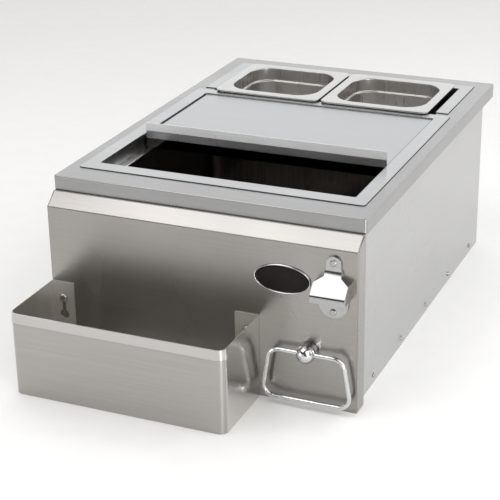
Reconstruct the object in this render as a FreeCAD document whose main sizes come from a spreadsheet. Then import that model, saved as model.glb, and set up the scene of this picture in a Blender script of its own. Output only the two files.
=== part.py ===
import FreeCAD, Part
import math
import os
import Sketcher

# A drop-in cocktail center: a stainless box that hangs by a top frame in a counter cut-out.
# It holds an ice well with a sliding lid, two condiment pans and, on its front panel,
# a bottle trough, a bottle opener, a badge and a towel ring.
# Frame: origin at the middle of the body's underside, +Z up, front towards -Y, millimetres.

SIZES = {
    # Sheet metal and assembly play
    "gauge": 1.2,
    "play": 0.3,
    "seat_play": 0.2,
    # Top frame: a folded tray with a drop lip
    "frame_width": 457,
    "frame_overhang": 2,
    "frame_rear_overhang": 31.5,
    "frame_lip": 21,
    "frame_step": 1,
    "frame_corner": 4,
    "frame_bend": 1.8,
    "frame_room": 0.8,
    # Body: side, back and base panels
    "body_inset": 9,
    "body_depth": 600,
    "body_flange": 20,
    "base_flange": 25,
    # Front panel: a folded box with a sloping top edge
    "face_inset": 1,
    "face_depth": 27,
    "face_bend": 2.4,
    "face_gap": 0.3,
    "face_ledge": 6,
    "slope_drop": 16.5,
    "face_flange": 27,
    # Ice well: collar, ledge, tub, foam
    "well_setback": 65.3,
    "well_corner": 3,
    "collar_margin": 17.5,
    "collar_side": 20.7,
    "collar_front": 24,
    "collar_back": 18,
    "collar_corner": 5,
    "ledge_depth": 22,
    "ledge_width": 9,
    "tub_wall": 1,
    "tub_lip": 11.5,
    "tub_depth": 140,
    "tub_corner": 24,
    "foam": 25,
    "foam_room": 4,
    # Drain
    "drain_setback": 67.5,
    "drain_height": 55,
    "drain_bore": 12.5,
    "drain_thread": 16.5,
    "drain_flange": 30,
    "drain_plate": 1.5,
    "grid_hole": 2.5,
    "grid_ring": 7.8,
    "gasket": 2.5,
    "nut_height": 10,
    "nut_gap": 1,
    "drain_nut_flats": 46,
    "elbow_radius": 20,
    "elbow_top": 38,
    "socket_depth": 22,
    "elbow_wall": 4,
    "pipe_radius": 14,
    "pipe_bore": 11.5,
    "outlet_thread": 18,
    "outlet_flange": 26,
    "outlet_flange_height": 4,
    "outlet_inside": 34,
    "outlet_nut_flats": 48,
    "spigot_radius": 9.5,
    "spigot_length": 24,
    "spigot_wall": 2,
    # Sliding lid
    "lid_opening": 138.7,
    "lid_play": 2,
    "lid_back_play": 1,
    "lid_recess": 1.7,
    "lid_bend": 1.5,
    "lid_floor_gap": 1,
    "glide_width": 4,
    "glide_height": 8,
    "lip_rise": 7.5,
    "lip_height": 11.5,
    "lip_step": 1.5,
    "lip_lean": 2,
    "lip_overlap": 3,
    "lip_inset": 1,
    # Pan holder and pans
    "holder_margin": 25,
    "holder_side": 19.25,
    "holder_back": 19,
    "holder_setback": 10,
    "holder_skirt": 14,
    "bay_gap": 2,
    "bay_length": 142,
    "pan_side_gap": 4.5,
    "pan_gap": 4,
    "pan_spare": 8,
    "pan_rest": 10,
    "pan_depth": 65,
    "pan_rim_height": 3.8,
    "pan_rim_corner": 10,
    "pan_rim_end": 14.5,
    "pan_rim_side": 15.5,
    "pan_mouth_corner": 36,
    "pan_wall": 0.8,
    "pan_shoulder_depth": 22,
    "pan_shoulder": 3.5,
    "pan_taper": 4,
    # Speed rail, a bottle trough
    "rail_inset": 0.5,
    "rail_clear": 138.9,
    "rail_depth": 116.2,
    "rail_height": 121.2,
    "rail_bottom": 0.3,
    "rail_corner": 12,
    "rail_hem": 14.8,
    "rail_hem_proud": 0.9,
    "rail_tab": 35,
    "rail_tab_corner": 1.5,
    "hanger_height": 97,
    "hanger_drop": 26,
    "hanger_head": 6,
    "hanger_head_height": 3.6,
    "hanger_shank": 2.5,
    "keyhole_play": 0.3,
    "keyhole_head_play": 1,
    # Badge
    "badge_inset": 105.3,
    "badge_drop": 68.9,
    "badge_length": 81,
    "badge_height": 42,
    "badge_rim": 2.6,
    "badge_proud": 2.6,
    "badge_face_proud": 1.8,
    # Bottle opener
    "opener_inset": 33.5,
    "opener_drop": 25.2,
    "opener_height": 87,
    "opener_plate": 3.5,
    "opener_tab": 10.5,
    "opener_disc": 20.5,
    "hood_top_drop": 20,
    "hood_brow_drop": 7,
    "hood_shoulder_drop": 7.4,
    "hood_lip_drop": 58,
    "hood_roll": 9,
    "hood_round": 8.5,
    "brow_reach": 7.5,
    "hood_reach": 28,
    "hood_half": 24,
    "hood_crown": 12,
    "hood_wall": 3.4,
    "opener_neck": 4,
    "opener_waist": 2,
    "tooth_half": 9,
    "tooth_reach": 6,
    "tooth_height": 4,
    "opener_screw": 2.4,
    "opener_screw_head": 4.6,
    "opener_screw_inset": 9,
    # Towel ring
    "towel_inset": 67.5,
    "towel_z": 82.5,
    "towel_wire": 3.2,
    "towel_bore_play": 0.08,
    "towel_ball": 12.8,
    "towel_neck": 12.3,
    "towel_foot": 11,
    "towel_foot_height": 2,
    "ring_drop": 71,
    "ring_top_half": 51.5,
    "ring_bottom_half": 63.5,
    "ring_corner": 16,
    # Fasteners
    "screw_shank": 2,
    "screw_head": 3.8,
    "screw_head_height": 2.2,
    "screw_length": 8,
    "screw_height": 12,
    "screw_front": 64,
    "screw_rear": 48,
    "back_screw_pitch": 150,
    "face_screw_low": 60,
    "face_screw_high": 190,
    "small_nut_flats": 8,
    "small_nut_height": 4,
}

# Sizes that follow from those above
FOLLOWING = {
    # Across: everything keeps its margin from the frame's sides
    "body_width": "frame_width - 2 * body_inset",
    "face_width": "frame_width - 2 * face_inset",
    "well_width": "frame_width - 2 * (collar_margin + collar_side)",
    "holder_width": "frame_width - 2 * holder_margin",
    "pan_bay_width": "holder_width - 2 * holder_side",
    "pan_length": "(pan_bay_width - pan_side_gap - pan_gap - pan_spare) / 2",
    "pan_mouth_length": "pan_length - 2 * pan_rim_end",
    "pan_left_x": "pan_side_gap + (pan_length - pan_bay_width) / 2",
    "pan_right_x": "pan_left_x + pan_length + pan_gap",
    "rail_left": "rail_inset - face_width / 2",
    "rail_width": "face_width - rail_inset - rail_clear",
    "badge_x": "face_width / 2 - badge_inset",
    "opener_x": "face_width / 2 - opener_inset",
    "towel_x": "face_width / 2 - towel_inset",
    # From front to back: the well takes what the pan bay leaves of the body
    "frame_depth": "body_depth + frame_overhang + frame_rear_overhang",
    "well_front": "well_setback - frame_overhang - body_depth / 2",
    "bay_back": "body_depth / 2 - holder_back",
    "bay_front": "bay_back - bay_length",
    "well_back": "bay_front - bay_gap - collar_back",
    "drain_y": "well_back - tub_lip - drain_setback",
    "lid_length": "well_back - well_front - lid_back_play - lid_opening",
    "pan_width": "bay_length + 2 * pan_rest",
    "pan_mouth_width": "pan_width - 2 * pan_rim_side",
    "screw_pitch": "(body_depth - screw_front - screw_rear) / 4",
    # Upwards: the drain's fittings stand under the tub, and the tub hangs from the frame
    "frame_top": "drain_height + elbow_top + nut_gap + nut_height + gasket + tub_depth + ledge_depth",
    "face_top": "frame_top - frame_lip + frame_step - face_gap",
    "badge_z": "face_top - badge_drop",
    "opener_top": "face_top - opener_drop",
    "opener_bottom": "opener_top - opener_height",
    "hood_top": "opener_top - hood_top_drop",
    "hood_brow": "hood_top - hood_brow_drop",
    "hood_shoulder": "hood_brow - hood_shoulder_drop",
    "hood_lip": "opener_top - hood_lip_drop",
    "hood_crease": "hood_lip + hood_roll",
    # The towel post's ball stands clear of the panel
    "towel_stand": "towel_ball + seat_play",
}

doc = FreeCAD.newDocument("cocktail_center")
sheet = doc.addObject("Spreadsheet::Sheet", "sizes")
cells = {alias: str(value) for alias, value in SIZES.items()}
cells.update({alias: f"={formula}" for alias, formula in FOLLOWING.items()})
for row, (alias, content) in enumerate(cells.items(), 1):
    sheet.set(f"A{row}", alias)
    sheet.setAlias(f"B{row}", alias)
    sheet.set(f"B{row}", content)
doc.recompute()


class Size:
    """A length with its value now and the sheet formula that gives it."""

    def __init__(self, value, formula):
        self.value = value
        self.formula = formula

    def __add__(self, other):
        other = as_size(other)
        return Size(self.value + other.value, f"({self.formula} + {other.formula})")

    def __sub__(self, other):
        other = as_size(other)
        return Size(self.value - other.value, f"({self.formula} - {other.formula})")

    def __mul__(self, factor):
        factor = as_size(factor)
        return Size(self.value * factor.value, f"({self.formula} * {factor.formula})")

    def __truediv__(self, divisor):
        divisor = as_size(divisor)
        return Size(self.value / divisor.value, f"({self.formula} / {divisor.formula})")

    def __rsub__(self, other):
        return as_size(other) - self

    def __neg__(self):
        return as_size(0) - self

    __radd__ = __add__
    __rmul__ = __mul__


def as_size(item):
    return item if isinstance(item, Size) else Size(float(item), f"({float(item)})")


class Sizes:
    """Every cell of the sheet as a Size."""

    def __getattr__(self, alias):
        return Size(float(sheet.get(alias)), f"sizes.{alias}")


s = Sizes()
NODES = {}


def bind(item, prop, size):
    item.setExpression(prop, as_size(size).formula)


def keep(label, item):
    """Names a finished sub-part."""
    item.Label = label
    NODES[label] = item
    return item


AXES = {
    "X": FreeCAD.Vector(1, 0, 0),
    "-X": FreeCAD.Vector(-1, 0, 0),
    "Y": FreeCAD.Vector(0, 1, 0),
    "-Y": FreeCAD.Vector(0, -1, 0),
    "Z": FreeCAD.Vector(0, 0, 1),
    "-Z": FreeCAD.Vector(0, 0, -1),
}


def place(item, axis, origin):
    """Turns an item's own +Z to an axis and ties its origin to a point of sizes."""
    item.Placement = FreeCAD.Placement(FreeCAD.Vector(), FreeCAD.Rotation(AXES["Z"], AXES[axis]))
    for name, size in zip("xyz", origin):
        bind(item, f"Placement.Base.{name}", size)
    return item


# Blocks, rods and booleans


def block(x, y, z):
    """A block between two sizes along each axis."""
    item = doc.addObject("Part::Box", "block")
    for prop, axis, (low, high) in zip(("Length", "Width", "Height"), "xyz", (x, y, z)):
        bind(item, prop, as_size(high) - low)
        bind(item, f"Placement.Base.{axis}", low)
    return item


def rod(radius, length, axis, origin):
    item = doc.addObject("Part::Cylinder", "rod")
    bind(item, "Radius", radius)
    bind(item, "Height", length)
    return place(item, axis, origin)


def union(items):
    item = doc.addObject("Part::MultiFuse", "union")
    item.Shapes = items
    return item


def cut(base, tools):
    item = doc.addObject("Part::Cut", "cut")
    item.Base = base
    item.Tool = tools[0] if len(tools) == 1 else union(tools)
    return item


def group(items):
    item = doc.addObject("Part::Compound", "group")
    item.Links = items
    return item


# Sketches on a body's own planes


def new_body():
    return doc.addObject("PartDesign::Body", "body")


def sketch_on(body, plane, level=0):
    """A sketch at a level along the plane's normal: XY looks up, XZ to the front, YZ to the right."""
    sketch = body.newObject("Sketcher::SketchObject", "outline")
    role = f"{plane}_Plane"
    sketch.AttachmentSupport = [(next(f for f in body.Origin.OriginFeatures if f.Role == role), "")]
    sketch.MapMode = "FlatFace"
    bind(sketch, "AttachmentOffset.Base.z", -as_size(level) if plane == "XZ" else level)
    return sketch


def hold(sketch, kind, elements, size):
    """A dimension of the sketch, tied to a size."""
    index = sketch.addConstraint(Sketcher.Constraint(kind, *elements, as_size(size).value))
    bind(sketch, f"Constraints[{index}]", size)


def outline(sketch, corners):
    """A closed outline through (u, v) or (u, v, radius) corners.

    Level and upright edges hold one coordinate each; a sharp corner holds whatever its edges leave free.
    A rounded corner is an arc tangent to two such edges.
    """
    count = len(corners)
    points = [FreeCAD.Vector(as_size(c[0]).value, as_size(c[1]).value, 0) for c in corners]
    radii = [as_size(c[2]) if len(c) > 2 else None for c in corners]
    ways = [(points[(i + 1) % count] - points[i]).normalize() for i in range(count)]
    starts, ends, arcs = list(points), [points[(i + 1) % count] for i in range(count)], {}
    for i, radius in enumerate(radii):
        if radius is None:
            continue
        way_in, way_out = ways[i - 1], ways[i]
        turn = way_in.getAngle(way_out)
        reach = radius.value * math.tan(turn / 2)
        ends[i - 1] = points[i] - way_in * reach
        starts[i] = points[i] + way_out * reach
        centre = points[i] + (way_out - way_in).normalize() * (radius.value / math.cos(turn / 2))
        left_turn = way_in.cross(way_out).z > 0
        first, last = (ends[i - 1], starts[i]) if left_turn else (starts[i], ends[i - 1])
        angles = [math.atan2(p.y - centre.y, p.x - centre.x) for p in (first, last)]
        angles[1] += 2 * math.pi if angles[1] < angles[0] else 0
        arcs[i] = (Part.ArcOfCircle(Part.Circle(centre, AXES["Z"], radius.value), *angles), left_turn)
    lines = [sketch.addGeometry(Part.LineSegment(starts[i], ends[i])) for i in range(count)]
    upright = [abs(way.x) < 1e-9 for way in ways]
    level = [abs(way.y) < 1e-9 for way in ways]
    for i, radius in enumerate(radii):
        if radius is None:
            sketch.addConstraint(Sketcher.Constraint("Coincident", lines[i - 1], 2, lines[i], 1))
        else:
            shape, left_turn = arcs[i]
            arc = sketch.addGeometry(shape)
            first, last = (1, 2) if left_turn else (2, 1)
            sketch.addConstraint(Sketcher.Constraint("Tangent", lines[i - 1], 2, arc, first))
            sketch.addConstraint(Sketcher.Constraint("Tangent", arc, last, lines[i], 1))
            hold(sketch, "Radius", (arc,), radius)
    for i, corner in enumerate(corners):
        if upright[i]:
            sketch.addConstraint(Sketcher.Constraint("Vertical", lines[i]))
            hold(sketch, "DistanceX", (lines[i], 1), corner[0])
        elif not upright[i - 1]:
            hold(sketch, "DistanceX", (lines[i], 1), corner[0])
        if level[i]:
            sketch.addConstraint(Sketcher.Constraint("Horizontal", lines[i]))
            hold(sketch, "DistanceY", (lines[i], 1), corner[1])
        elif not level[i - 1]:
            hold(sketch, "DistanceY", (lines[i], 1), corner[1])
    return sketch


def rectangle(sketch, u, v, *radius):
    """A rectangle between two sizes each way, with rounded corners where a radius is given."""
    return outline(sketch, [(u[0], v[0], *radius), (u[1], v[0], *radius),
                            (u[1], v[1], *radius), (u[0], v[1], *radius)])


def circle(sketch, u, v, radius):
    centre = FreeCAD.Vector(as_size(u).value, as_size(v).value, 0)
    edge = sketch.addGeometry(Part.Circle(centre, AXES["Z"], as_size(radius).value))
    hold(sketch, "DistanceX", (edge, 3), u)
    hold(sketch, "DistanceY", (edge, 3), v)
    hold(sketch, "Radius", (edge,), radius)
    return sketch


def ellipse(sketch, u, v, long_half, short_half):
    """An ellipse lying along u, held by its centre and its two half axes."""
    centre = FreeCAD.Vector(as_size(u).value, as_size(v).value, 0)
    long_end = centre + FreeCAD.Vector(as_size(long_half).value, 0, 0)
    short_end = centre + FreeCAD.Vector(0, as_size(short_half).value, 0)
    edge = sketch.addGeometry(Part.Ellipse(long_end, short_end, centre))
    sketch.exposeInternalGeometry(edge)
    hold(sketch, "DistanceX", (edge, 3), u)
    hold(sketch, "DistanceY", (edge, 3), v)
    long_axis = edge + 1
    short_axis = edge + 2
    sketch.addConstraint(Sketcher.Constraint("Horizontal", long_axis))
    hold(sketch, "Distance", (long_axis,), 2 * long_half)
    hold(sketch, "Distance", (short_axis,), 2 * short_half)
    return edge


# Features of a body


def pad(body, sketch, length, reverse=False):
    """Adds the sketch along its normal: up, to the front or to the right."""
    feature = body.newObject("PartDesign::Pad", "pad")
    feature.Profile = sketch
    feature.Reversed = reverse
    bind(feature, "Length", length)
    return feature


def pocket(body, sketch, length, reverse=False):
    """Cuts the sketch against its normal: down, to the back or to the left."""
    doc.recompute()
    before = body.Shape.Volume
    feature = body.newObject("PartDesign::Pocket", "pocket")
    feature.Profile = sketch
    feature.Reversed = reverse
    bind(feature, "Length", length)
    doc.recompute()
    if body.Shape.Volume > before - 1e-6:
        raise RuntimeError(f"a pocket of {body.Name} cuts nothing")
    return feature


def round_edges(body, radius, chosen):
    """Fillets the edges of the body's last feature that a test picks."""
    doc.recompute()
    base = body.Tip
    names = [f"Edge{i}" for i, edge in enumerate(base.Shape.Edges, 1) if chosen(edge.BoundBox)]
    if not names:
        raise RuntimeError(f"no edge to round on {body.Name}")
    feature = body.newObject("PartDesign::Fillet", "fillet")
    feature.Base = (base, names)
    bind(feature, "Radius", radius)
    return feature


def near(value, size):
    return abs(value - as_size(size).value) < 1e-4


def level_at(size):
    """Picks edges that lie level at a height."""
    return lambda box: near(box.ZMin, size) and near(box.ZMax, size)


def turned(profile, axis, origin):
    """A turned piece: (radius, height) corners spun about its own axis."""
    body = new_body()
    sketch = outline(sketch_on(body, "XZ"), profile)
    feature = body.newObject("PartDesign::Revolution", "turning")
    feature.Profile = sketch
    feature.ReferenceAxis = (sketch, ["V_Axis"])
    feature.Angle = 360
    return place(body, axis, origin)


def screw(shank, head, head_height, length, axis, origin):
    """A round-headed screw: the head's flat underside at the origin, the head standing along the axis."""
    dome = head_height * DOMED
    return turned([(0, -length), (shank, -length), (shank, 0), (head, 0), (head, head_height, dome),
                   (0, head_height)], axis, origin)


def hex_nut(flats, bore, height, axis, origin):
    """A six-sided nut standing along the axis from its origin."""
    body = new_body()
    corner = flats / 2 / math.cos(math.pi / 6)
    turns = [(math.cos(math.radians(60 * i)), math.sin(math.radians(60 * i))) for i in range(6)]
    sketch = sketch_on(body, "XY")
    outline(sketch, [(corner * round(u, 6), corner * round(v, 6)) for u, v in turns])
    circle(sketch, 0, 0, bore)
    pad(body, sketch, height)
    return place(body, axis, origin)


# Cutters start this far outside the sheet that they cut
CLEAR_OF = 1
# The widest rounding that leaves a short flat at a nearly round end
NEARLY_ROUND = 0.98
# How much of its height a domed head rounds off
DOMED = 0.8

# Shared places, worked out from the sizes

body_side = s.body_width / 2
body_end = s.body_depth / 2
inner_side = body_side - s.gauge
inner_end = body_end - s.gauge
frame_under = s.frame_top - s.gauge
frame_front = -(body_end + s.frame_overhang)
frame_back = frame_front + s.frame_depth
lip_bottom = s.frame_top - s.frame_lip
face = -(body_end + s.face_depth)
face_inside = face + s.gauge
well_side = s.well_width / 2
plate_top = s.frame_top + s.gauge
ledge_top = s.frame_top - s.ledge_depth
rim_top = ledge_top + s.tub_wall
bay_side = s.pan_bay_width / 2
side_screw_stations = [s.screw_front - body_end + s.screw_pitch * step for step in range(5)]
back_screw_stations = [s.back_screw_pitch * step for step in (-1, 0, 1)]
screw_hole = s.screw_shank + s.play / 2
face_screw_x = body_side - s.body_flange / 2
face_screw_heights = (s.face_screw_low, s.face_screw_high)
hanger_spots = (s.rail_left + s.rail_tab / 2, s.rail_left + s.rail_width - s.rail_tab / 2)
opener_screw_heights = (s.opener_top - s.opener_screw_inset, s.opener_bottom + s.opener_screw_inset)


def base_panel():
    """The floor pan: a sheet with four upturned flanges that the side and back panels screw to."""
    tray = block((-inner_side, inner_side), (-body_end, inner_end), (0, s.base_flange))
    hollow = block((-(inner_side - s.gauge), inner_side - s.gauge),
                   (-inner_end, inner_end - s.gauge), (s.gauge, s.base_flange + CLEAR_OF))
    holes = [rod(screw_hole, s.body_width, "X", (-body_side, y, s.screw_height))
             for y in side_screw_stations]
    holes += [rod(screw_hole, 4 * s.gauge, "Y", (x, inner_end - 3 * s.gauge, s.screw_height))
              for x in back_screw_stations]
    keep("base_panel", cut(tray, [hollow, *holes]))


def side_panels():
    """The side sheets, with inward flanges at the top for the frame and in front for the front panel."""
    inside = body_side - s.body_flange
    sheet_metal = block((inner_side, body_side), (-body_end, body_end), (0, frame_under))
    front = block((inside, body_side), (-body_end, -inner_end), (s.base_flange + s.play, frame_under))
    top = block((inside, body_side), (-body_end, inner_end), (frame_under - s.gauge, frame_under))
    holes = [rod(screw_hole, 4 * s.gauge, "X", (body_side - 3 * s.gauge, y, s.screw_height))
             for y in side_screw_stations]
    holes += [rod(screw_hole, 4 * s.gauge, "Y", (face_screw_x, -body_end - s.gauge, z))
              for z in face_screw_heights]
    right = keep("side_panel_right", cut(union([sheet_metal, front, top]), holes))
    left = doc.addObject("Part::Mirroring", "mirror")
    left.Source = right
    left.Normal = AXES["X"]
    keep("side_panel_left", left)


def back_panel():
    """The back sheet between the sides, with the drain's hole."""
    sheet_metal = block((-inner_side, inner_side), (inner_end, body_end), (0, frame_under))
    upright = (s.base_flange + s.play, frame_under - s.gauge)
    wings = [block(x, (inner_end - s.body_flange, inner_end), upright) for x in (
        (inner_side - s.gauge, inner_side), (-inner_side, -(inner_side - s.gauge)))]
    holes = [rod(screw_hole, 4 * s.gauge, "Y", (x, inner_end - 2 * s.gauge, s.screw_height))
             for x in back_screw_stations]
    drain_hole = (0, inner_end - 2 * s.gauge, s.drain_height)
    holes.append(rod(s.outlet_thread + s.play, 4 * s.gauge, "Y", drain_hole))
    keep("back_panel", cut(union([sheet_metal, *wings]), holes))


def front_panel():
    """The folded front box: face, sloping top edge, side returns and a rear flange all round."""
    body = new_body()
    half = s.face_width / 2
    slope_back = -(body_end + s.face_ledge)
    slope_foot = s.face_top - s.slope_drop
    outer = sketch_on(body, "YZ", -half)
    outline(outer, [(face, 0), (-body_end, 0), (-body_end, s.face_top), (slope_back, s.face_top),
                    (face, slope_foot)])
    pad(body, outer, s.face_width)
    round_edges(body, s.face_bend, lambda box: near(box.YMin, face) and near(abs(box.XMin), half)
                and near(box.XMin, box.XMax))
    inner = sketch_on(body, "YZ", half - s.gauge)
    back = -body_end - s.gauge
    outline(inner, [(face_inside, s.gauge), (back, s.gauge), (back, s.face_top - s.gauge),
                    (slope_back, s.face_top - s.gauge), (face_inside, slope_foot - s.gauge / 2)])
    pocket(body, inner, s.face_width - 2 * s.gauge)
    opening = sketch_on(body, "XZ", back - CLEAR_OF)
    side = half - s.face_flange
    rectangle(opening, (-side, side), (s.base_flange, s.face_top - s.face_flange))
    pocket(body, opening, 3 * s.gauge)
    drill = sketch_on(body, "XZ", face - CLEAR_OF)
    for x in hanger_spots:
        circle(drill, x, s.hanger_height, s.hanger_shank + s.play / 2)
    for z in opener_screw_heights:
        circle(drill, s.opener_x, z, s.opener_screw + s.play / 2)
    circle(drill, s.towel_x, s.towel_z, s.screw_shank + s.play / 2)
    pocket(body, drill, s.gauge + 2 * CLEAR_OF)
    flange_drill = sketch_on(body, "XZ", back - CLEAR_OF)
    for x in (face_screw_x, -face_screw_x):
        for z in face_screw_heights:
            circle(flange_drill, x, z, screw_hole)
    pocket(body, flange_drill, 3 * s.gauge)
    keep("front_panel", body)


def top_frame():
    """The top frame: a tray folded down on all four sides, open over the well and the pans.

    Its front lip stops a step higher, clear of the front panel.
    """
    body = new_body()
    half = s.frame_width / 2
    outer = sketch_on(body, "XY", lip_bottom)
    rectangle(outer, (-half, half), (frame_front, frame_back), s.frame_corner)
    pad(body, outer, s.frame_lip)
    round_edges(body, s.frame_bend, level_at(s.frame_top))
    inner = sketch_on(body, "XY", lip_bottom)
    rectangle(inner, (-(half - s.gauge), half - s.gauge), (frame_front + s.gauge, frame_back - s.gauge),
              s.frame_corner - s.gauge)
    pocket(body, inner, s.frame_lip - s.gauge, reverse=True)
    step = sketch_on(body, "XY", lip_bottom)
    rectangle(step, (-(half + CLEAR_OF), half + CLEAR_OF), (frame_front - CLEAR_OF, CLEAR_OF - body_end))
    pocket(body, step, s.frame_step, reverse=True)
    room = s.gauge + s.frame_room
    openings = sketch_on(body, "XY", s.frame_top + CLEAR_OF)
    rectangle(openings, (-(well_side + room), well_side + room), (s.well_front - room, s.well_back + room),
              s.well_corner + s.gauge)
    rectangle(openings, (-(bay_side + room), bay_side + room), (s.bay_front, s.bay_back + room))
    pocket(body, openings, s.gauge + 2 * CLEAR_OF)
    keep("top_frame", body)


def well_collar():
    """The well's drop-in surround: a plate on the frame, a skirt down into it and a ledge for the tub."""
    body = new_body()
    plate = sketch_on(body, "XY", s.frame_top)
    side = well_side + s.collar_side
    rectangle(plate, (-side, side), (s.well_front - s.collar_front, s.well_back + s.collar_back),
              s.collar_corner)
    pad(body, plate, s.gauge)
    skirt = sketch_on(body, "XY", plate_top)
    side = well_side + s.gauge
    rectangle(skirt, (-side, side), (s.well_front - s.gauge, s.well_back + s.gauge), s.well_corner + s.gauge)
    pad(body, skirt, s.gauge + s.ledge_depth + s.gauge, reverse=True)
    mouth = sketch_on(body, "XY", plate_top)
    rectangle(mouth, (-well_side, well_side), (s.well_front, s.well_back), s.well_corner)
    pocket(body, mouth, plate_top - ledge_top)
    hole = sketch_on(body, "XY", ledge_top + CLEAR_OF)
    side = well_side - s.ledge_width
    rectangle(hole, (-side, side), (s.well_front + s.ledge_width, s.well_back - s.ledge_width), s.tub_corner)
    pocket(body, hole, s.gauge + 2 * CLEAR_OF)
    keep("well_collar", body)


tub_side = well_side - s.tub_lip
tub_front = s.well_front + s.tub_lip
tub_back = s.well_back - s.tub_lip
tub_floor = rim_top - s.tub_depth
drain_top = tub_floor - s.tub_wall


def ice_tub():
    """The drawn tub, hanging by its lip on the collar's ledge, with the drain hole in its floor."""
    body = new_body()
    lip = sketch_on(body, "XY", ledge_top)
    side = well_side - 2 * s.play
    rectangle(lip, (-side, side), (s.well_front + 2 * s.play, s.well_back - 2 * s.play), s.well_corner)
    pad(body, lip, s.tub_wall)
    shell = sketch_on(body, "XY", rim_top)
    rectangle(shell, (-tub_side, tub_side), (tub_front, tub_back), s.tub_corner)
    pad(body, shell, s.tub_depth + s.tub_wall, reverse=True)
    inside = sketch_on(body, "XY", rim_top)
    side = tub_side - s.tub_wall
    rectangle(inside, (-side, side), (tub_front + s.tub_wall, tub_back - s.tub_wall),
              s.tub_corner - s.tub_wall)
    pocket(body, inside, s.tub_depth)
    hole = sketch_on(body, "XY", tub_floor + CLEAR_OF)
    circle(hole, 0, s.drain_y, s.drain_thread + s.play)
    pocket(body, hole, s.tub_wall + 2 * CLEAR_OF)
    keep("ice_tub", body)


def insulation_jacket():
    """The foam tray round the tub, open round the drain's nut."""
    body = new_body()
    top = ledge_top - s.gauge - s.play
    bottom = drain_top - s.foam
    wall = s.play + s.foam
    shell = sketch_on(body, "XY", bottom)
    rectangle(shell, (-(tub_side + wall), tub_side + wall), (tub_front - wall, tub_back + wall))
    pad(body, shell, top - bottom)
    inside = sketch_on(body, "XY", top)
    rectangle(inside, (-(tub_side + s.play), tub_side + s.play), (tub_front - s.play, tub_back + s.play),
              s.tub_corner + s.play)
    pocket(body, inside, top - drain_top)
    hole = sketch_on(body, "XY", drain_top + CLEAR_OF)
    circle(hole, 0, s.drain_y, s.drain_flange + s.foam_room)
    pocket(body, hole, s.foam + 2 * CLEAR_OF)
    keep("insulation_jacket", body)


def drain():
    """The melt-water drain: strainer, grid, gasket and nut at the tub, then elbow, pipe and rear outlet."""
    axis = (0, s.drain_y)
    bore = s.drain_bore
    thread = s.drain_thread
    step = s.drain_plate
    height = s.drain_height
    radius = s.elbow_radius
    run = s.elbow_top
    tail = tub_floor - (height + run - s.socket_depth + s.play)
    keep("drain_strainer", turned(
        [(bore, -tail), (thread, -tail), (thread, 0), (s.drain_flange, 0),
         (s.drain_flange, 2 * step), (s.drain_flange - step, 2 * step), (s.drain_flange - step, step),
         (bore, step)], "Z", (*axis, tub_floor)))
    grid = new_body()
    disc = sketch_on(grid, "XY")
    circle(disc, 0, 0, s.drain_flange - step - s.play)
    circle(disc, 0, 0, s.grid_hole)
    for turn in range(6):
        angle = math.radians(60 * turn)
        circle(disc, s.grid_ring * round(math.cos(angle), 6), s.grid_ring * round(math.sin(angle), 6),
               s.grid_hole)
    pad(grid, disc, step)
    keep("drain_grid", place(grid, "Z", (*axis, tub_floor + step)))
    keep("drain_gasket", turned(
        [(thread + s.play, 0), (s.drain_flange, 0), (s.drain_flange, s.gasket),
         (thread + s.play, s.gasket)], "-Z", (*axis, drain_top)))
    keep("drain_nut", hex_nut(s.drain_nut_flats, thread + s.play / 2, s.nut_height, "-Z",
                              (*axis, drain_top - s.gasket)))
    arm = s.pipe_radius + s.elbow_wall
    outside = union([rod(radius, radius + run, "Z", (*axis, height - radius)),
                     rod(arm, run, "Y", (*axis, height))])
    socket_start = run - s.socket_depth
    reach = s.socket_depth + CLEAR_OF
    bored = [rod(bore, run, "Z", (*axis, height - bore / 2)),
             rod(s.pipe_bore, run, "Y", (0, s.drain_y - bore / 2, height)),
             rod(thread + s.play / 2, reach, "Z", (*axis, height + socket_start)),
             rod(s.pipe_radius + s.play / 2, reach, "Y", (0, s.drain_y + socket_start, height))]
    keep("drain_elbow", cut(outside, bored))
    pipe_start = s.drain_y + socket_start
    pipe_end = body_end - s.outlet_inside + s.socket_depth
    pipe_length = pipe_end - pipe_start
    keep("drain_pipe", turned(
        [(s.pipe_bore, 0), (s.pipe_radius, 0), (s.pipe_radius, pipe_length), (s.pipe_bore, pipe_length)],
        "Y", (0, pipe_start, height)))
    socket = s.pipe_radius + s.play / 2
    spigot_bore = s.spigot_radius - s.spigot_wall
    flange_top = s.outlet_flange_height
    spigot_top = flange_top + s.spigot_length
    keep("drain_outlet", turned(
        [(socket, -s.outlet_inside), (s.outlet_thread, -s.outlet_inside), (s.outlet_thread, 0),
         (s.outlet_flange, 0), (s.outlet_flange, flange_top), (s.spigot_radius, flange_top),
         (s.spigot_radius, spigot_top), (spigot_bore, spigot_top),
         (spigot_bore, s.socket_depth - s.outlet_inside), (socket, s.socket_depth - s.outlet_inside)],
        "Y", (0, body_end, height)))
    keep("drain_outlet_nut", hex_nut(s.outlet_nut_flats, s.outlet_thread + s.play / 2, s.nut_height, "-Y",
                                     (0, inner_end, height)))


lid_top = plate_top - s.lid_recess
lid_side = well_side - s.lid_play
lid_back = s.well_back - s.lid_back_play
lid_front = lid_back - s.lid_length
lid_bottom = rim_top + s.lid_floor_gap


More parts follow.
